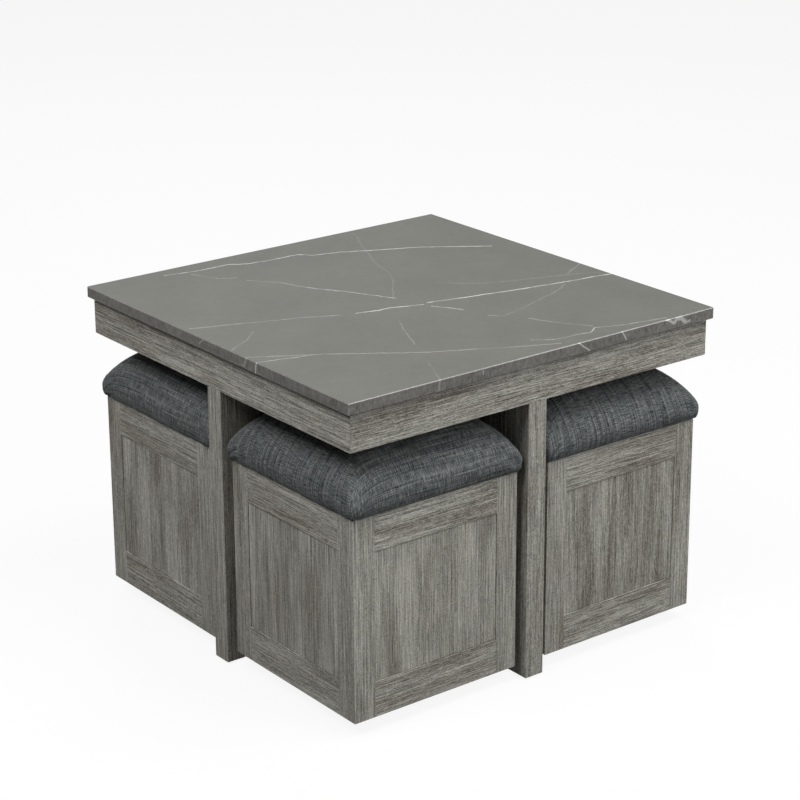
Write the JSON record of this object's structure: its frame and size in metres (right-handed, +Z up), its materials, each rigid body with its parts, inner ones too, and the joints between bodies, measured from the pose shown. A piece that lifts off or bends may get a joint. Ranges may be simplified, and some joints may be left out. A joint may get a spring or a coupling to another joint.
{
  "type": "coffee table with stools",
  "caption": "Square coffee table with a stone top on a cross-shaped base, with padded box stools that park under its corners.",
  "frame": {"origin": "on the floor under the middle of the table", "axes": "+Z up; the table's sides run along X and Y; the front is at -Y"},
  "size_m": [0.7, 0.7, 0.524],
  "materials": {
    "marble": "satin grey marble with fine pale veins",
    "oak": "weathered grey oak, matt",
    "linen": "charcoal linen weave with lighter slubs",
    "board": "plain particle board and beech, hidden",
    "plastic": "black moulded plastic"
  },
  "bodies": {
    "table": {"marble_top": "marble", "sub_top": "board", "apron_front": "oak", "apron_right": "oak", "apron_back": "oak", "apron_left": "oak", "base_panel_long": "oak", "base_panel_front": "oak", "base_panel_back": "oak", "base_dowel_lower": "board", "base_dowel_middle": "board", "base_dowel_upper": "board", "base_glide_front": "plastic", "base_glide_right": "plastic", "base_glide_back": "plastic", "base_glide_left": "plastic"},
    "front_left_stool": {"front_left_stool_front_wall": "oak", "front_left_stool_back_wall": "oak", "front_left_stool_left_wall": "oak", "front_left_stool_right_wall": "oak", "front_left_stool_bottom_board": "board", "front_left_stool_foot_front_left": "plastic", "front_left_stool_foot_front_right": "plastic", "front_left_stool_foot_back_right": "plastic", "front_left_stool_foot_back_left": "plastic"},
    "front_left_seat": {"front_left_stool_lid_board": "board", "front_left_stool_cushion": "linen"},
    "front_right_stool": {"front_right_stool_front_wall": "oak", "front_right_stool_back_wall": "oak", "front_right_stool_left_wall": "oak", "front_right_stool_right_wall": "oak", "front_right_stool_bottom_board": "board", "front_right_stool_foot_front_left": "plastic", "front_right_stool_foot_front_right": "plastic", "front_right_stool_foot_back_right": "plastic", "front_right_stool_foot_back_left": "plastic"},
    "front_right_seat": {"front_right_stool_lid_board": "board", "front_right_stool_cushion": "linen"},
    "back_right_stool": {"back_right_stool_front_wall": "oak", "back_right_stool_back_wall": "oak", "back_right_stool_left_wall": "oak", "back_right_stool_right_wall": "oak", "back_right_stool_bottom_board": "board", "back_right_stool_foot_front_left": "plastic", "back_right_stool_foot_front_right": "plastic", "back_right_stool_foot_back_right": "plastic", "back_right_stool_foot_back_left": "plastic"},
    "back_right_seat": {"back_right_stool_lid_board": "board", "back_right_stool_cushion": "linen"},
    "back_left_stool": {"back_left_stool_front_wall": "oak", "back_left_stool_back_wall": "oak", "back_left_stool_left_wall": "oak", "back_left_stool_right_wall": "oak", "back_left_stool_bottom_board": "board", "back_left_stool_foot_front_left": "plastic", "back_left_stool_foot_front_right": "plastic", "back_left_stool_foot_back_right": "plastic", "back_left_stool_foot_back_left": "plastic"},
    "back_left_seat": {"back_left_stool_lid_board": "board", "back_left_stool_cushion": "linen"}
  },
  "joints": [
    {"name": "front_left_stool_pull", "type": "slide", "parent": "table", "child": "front_left_stool", "axis": [0, -1, 0], "range_m": [0, 0.45]},
    {"name": "front_left_seat_lift", "type": "slide", "parent": "front_left_stool", "child": "front_left_seat", "axis": [0, 0, 1], "range_m": [0, 0.005]},
    {"name": "front_right_stool_pull", "type": "slide", "parent": "table", "child": "front_right_stool", "axis": [1, 0, 0], "range_m": [0, 0.45]},
    {"name": "front_right_seat_lift", "type": "slide", "parent": "front_right_stool", "child": "front_right_seat", "axis": [0, 0, 1], "range_m": [0, 0.005]},
    {"name": "back_right_stool_pull", "type": "slide", "parent": "table", "child": "back_right_stool", "axis": [0, 1, 0], "range_m": [0, 0.45]},
    {"name": "back_right_seat_lift", "type": "slide", "parent": "back_right_stool", "child": "back_right_seat", "axis": [0, 0, 1], "range_m": [0, 0.005]},
    {"name": "back_left_stool_pull", "type": "slide", "parent": "table", "child": "back_left_stool", "axis": [-1, 0, 0], "range_m": [0, 0.45]},
    {"name": "back_left_seat_lift", "type": "slide", "parent": "back_left_stool", "child": "back_left_seat", "axis": [0, 0, 1], "range_m": [0, 0.005]}
  ]
}
